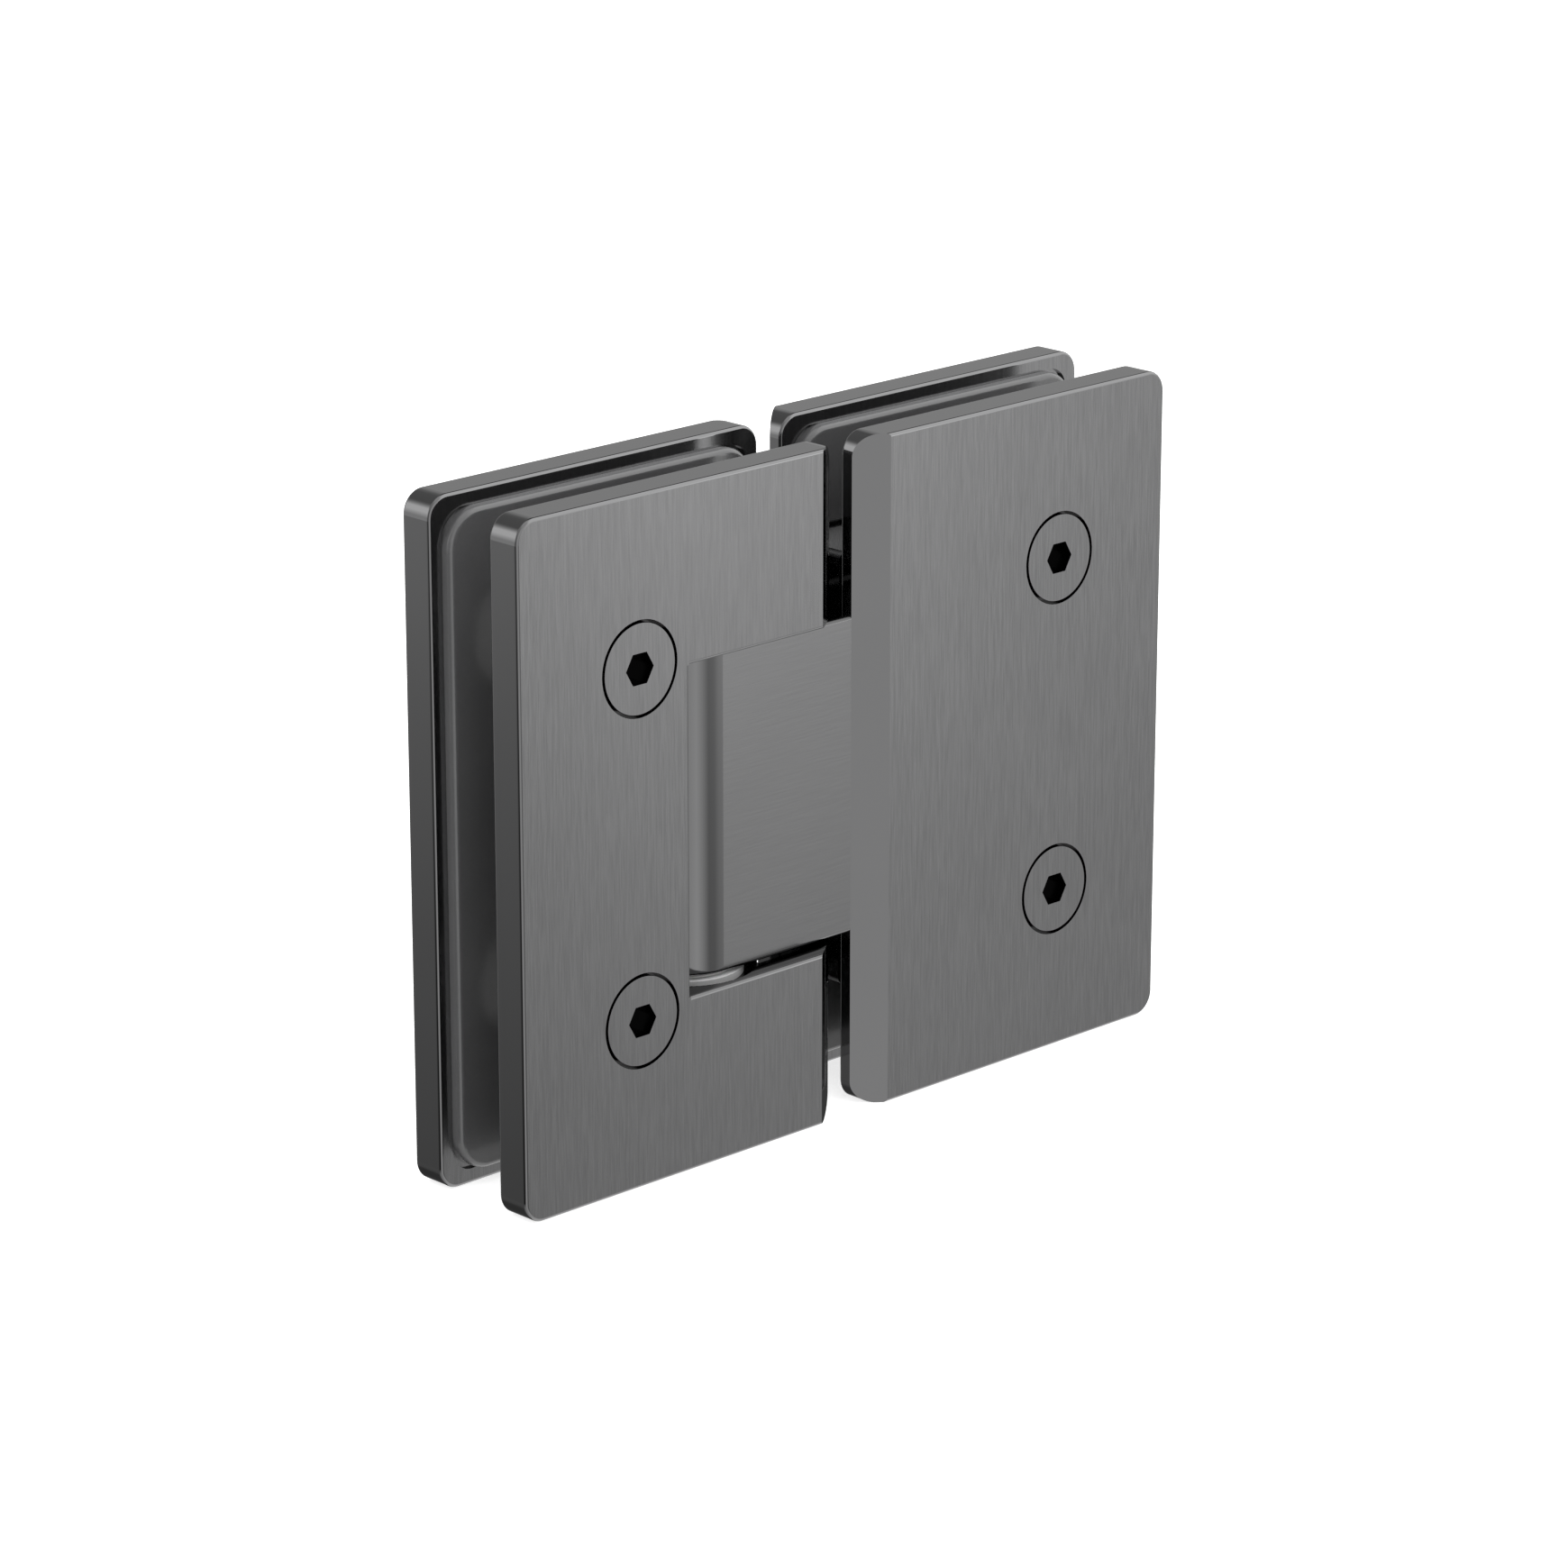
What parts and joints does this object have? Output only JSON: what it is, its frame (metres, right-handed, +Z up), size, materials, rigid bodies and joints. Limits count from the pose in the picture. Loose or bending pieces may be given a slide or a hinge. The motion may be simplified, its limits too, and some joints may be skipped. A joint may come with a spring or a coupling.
{
  "type": "glass door hinge",
  "caption": "Glass to glass door hinge: two pairs of plates clamp the door and the fixed panel, joined by a notched pivot knuckle with spring centring.",
  "frame": {"origin": "under the middle of the hinge, level with the plates' lower edges", "axes": "+X from the door side to the fixed side, +Y from the front faces to the back ones, +Z up along the pivot pin"},
  "size_m": [0.114, 0.021, 0.09],
  "materials": {
    "plates": "brushed, dark gunmetal plated",
    "pads": "smooth",
    "clamp_screws": "dark plated",
    "washers": "turned, satin",
    "inner_steel": "turned and ground",
    "nylon": "moulded"
  },
  "bodies": {
    "fixed_side": {"fixed_front_plate": "plates", "fixed_back_plate": "plates", "fixed_front_pad": "pads", "fixed_back_pad": "pads", "fixed_upper_screw": "clamp_screws", "fixed_lower_screw": "clamp_screws", "fixed_upper_sleeve": "nylon", "fixed_lower_sleeve": "nylon", "knuckle": "plates", "upper_bush": "nylon", "lower_bush": "nylon", "tongue_upper_screw": "inner_steel", "tongue_lower_screw": "inner_steel", "centring_spring": "inner_steel", "spring_plug": "inner_steel"},
    "door_side": {"door_front_plate": "plates", "door_back_plate": "plates", "door_front_pad": "pads", "door_back_pad": "pads", "door_upper_screw": "clamp_screws", "door_lower_screw": "clamp_screws", "door_upper_sleeve": "nylon", "door_lower_sleeve": "nylon", "pivot_pin": "inner_steel", "upper_washer": "washers", "lower_washer": "washers"},
    "plunger": {"centring_plunger": "inner_steel"}
  },
  "joints": [
    {"name": "door_swing", "type": "hinge", "parent": "fixed_side", "child": "door_side", "pos_m": [-0.0205, 0, 0.045], "axis": [0, 0, 1], "range_deg": [-90, 90]},
    {"name": "plunger_travel", "type": "slide", "parent": "fixed_side", "child": "plunger", "axis": [1, 0, 0], "range_m": [0, 0.0003], "stiffness_N_per_m": 8000, "deforming": ["centring_spring"]}
  ]
}
